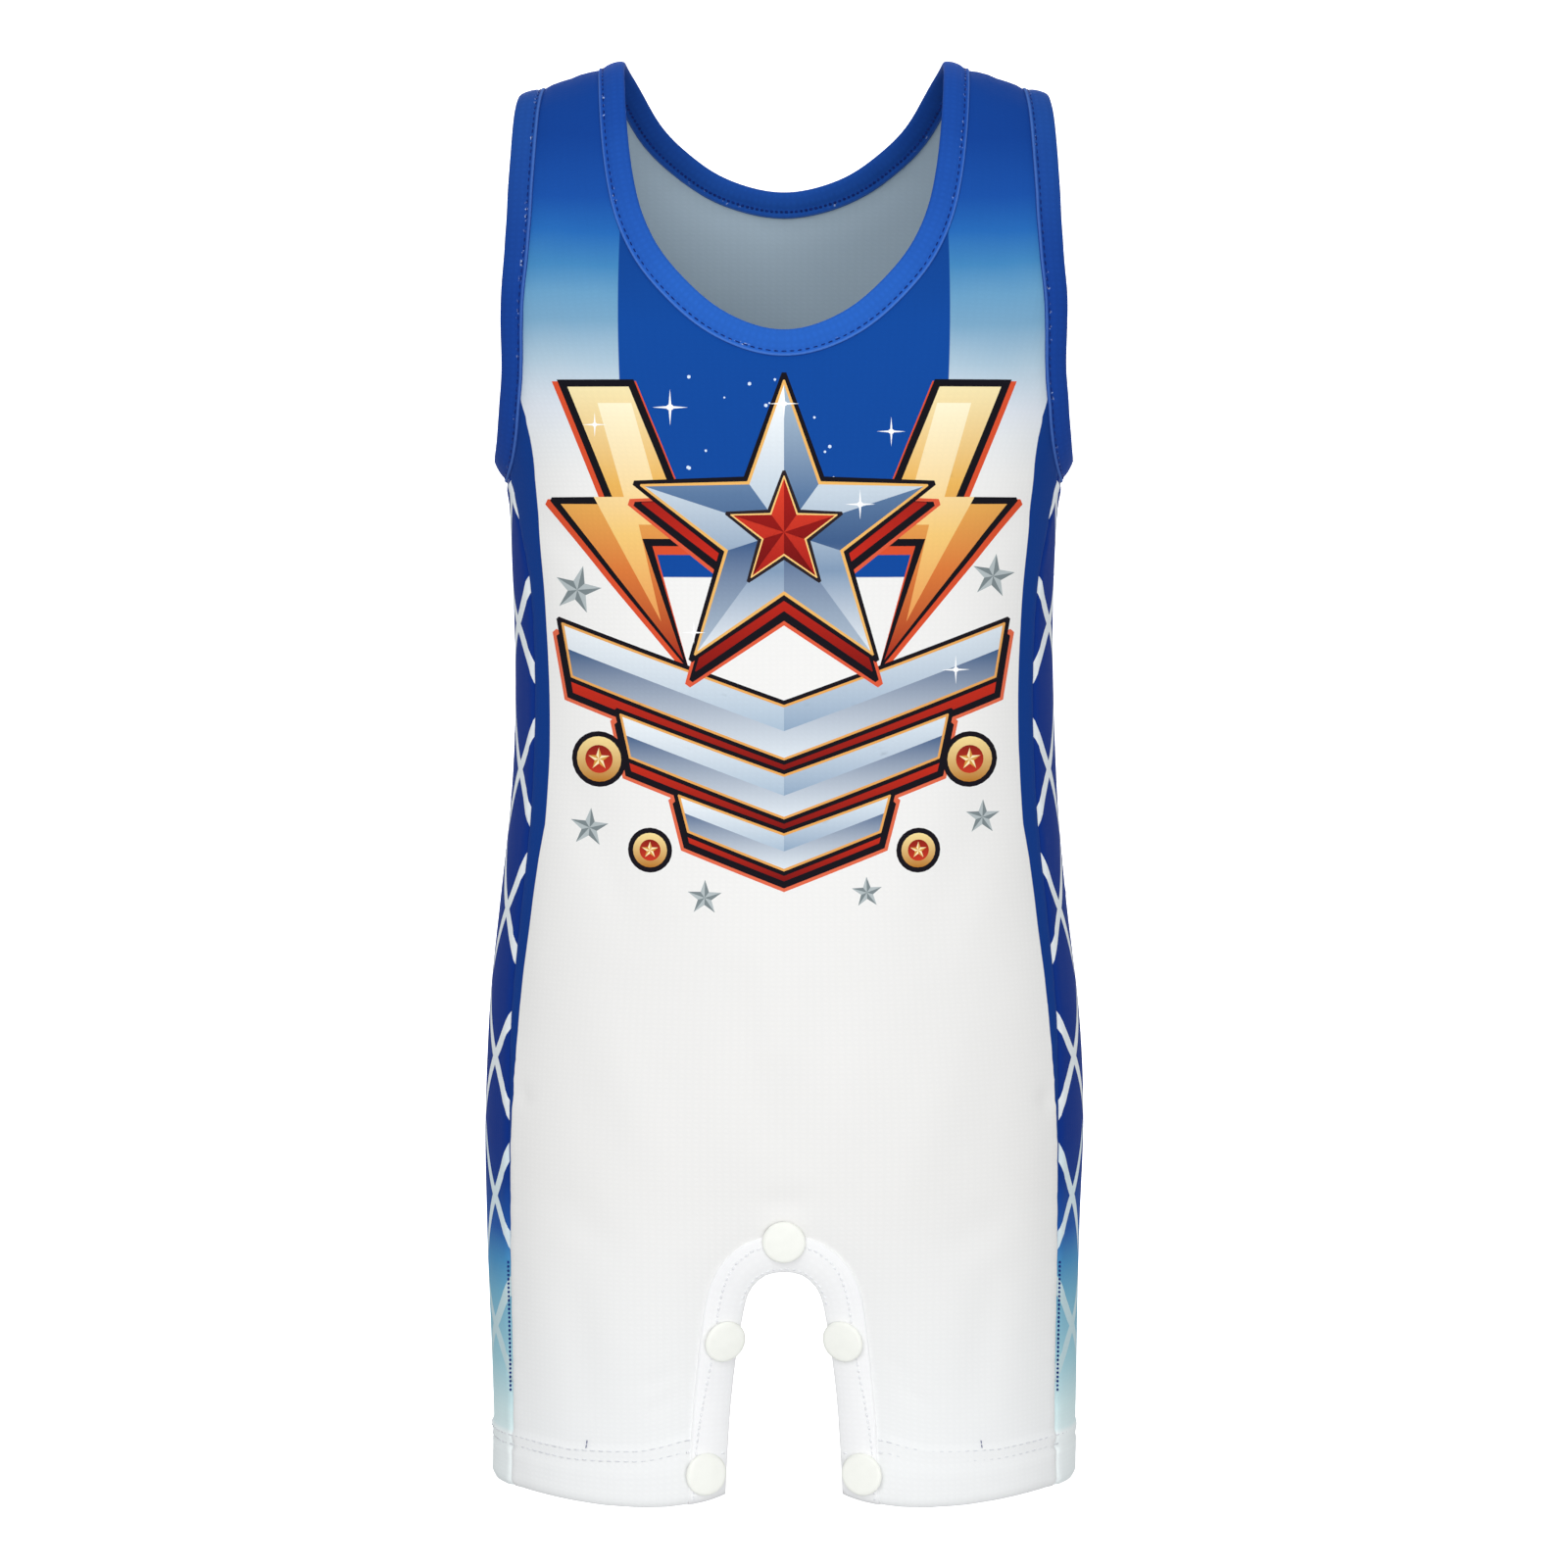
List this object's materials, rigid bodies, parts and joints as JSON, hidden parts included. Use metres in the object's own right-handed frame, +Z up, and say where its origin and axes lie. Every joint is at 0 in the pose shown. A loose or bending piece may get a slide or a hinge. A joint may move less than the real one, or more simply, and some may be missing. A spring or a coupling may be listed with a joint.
{
  "type": "baby wrestling singlet romper",
  "caption": "Sleeveless knit baby singlet with scooped neck, bound edges, printed side panels, short legs and a snapped crotch, filled out as if worn and empty inside.",
  "frame": {"origin": "midway between the tops of the two shoulder straps, at the height of the neck points", "axes": "+Z up, the front faces -Y, +X is the wearer's left"},
  "size_m": [0.1792, 0.1237, 0.4212],
  "materials": {
    "printed_knit": "matt printed polyester knit, white with blue",
    "side_knit": "matt printed polyester knit, blue",
    "binding": "matt blue rib binding",
    "placket_knit": "matt white knit",
    "snap_resin": "smooth white resin"
  },
  "bodies": {
    "root": {"front_panel": "printed_knit", "back_panel": "printed_knit", "side_panel_left": "side_knit", "side_panel_right": "side_knit", "neck_binding": "binding", "armhole_binding_left": "binding", "armhole_binding_right": "binding", "placket_front": "placket_knit", "placket_back": "placket_knit", "snap_cap_middle": "snap_resin", "snap_cap_left_upper": "snap_resin", "snap_cap_right_upper": "snap_resin", "snap_cap_left_lower": "snap_resin", "snap_cap_right_lower": "snap_resin", "snap_stud_middle": "snap_resin", "snap_stud_left_upper": "snap_resin", "snap_stud_right_upper": "snap_resin", "snap_stud_left_lower": "snap_resin", "snap_stud_right_lower": "snap_resin"}
  },
  "joints": []
}
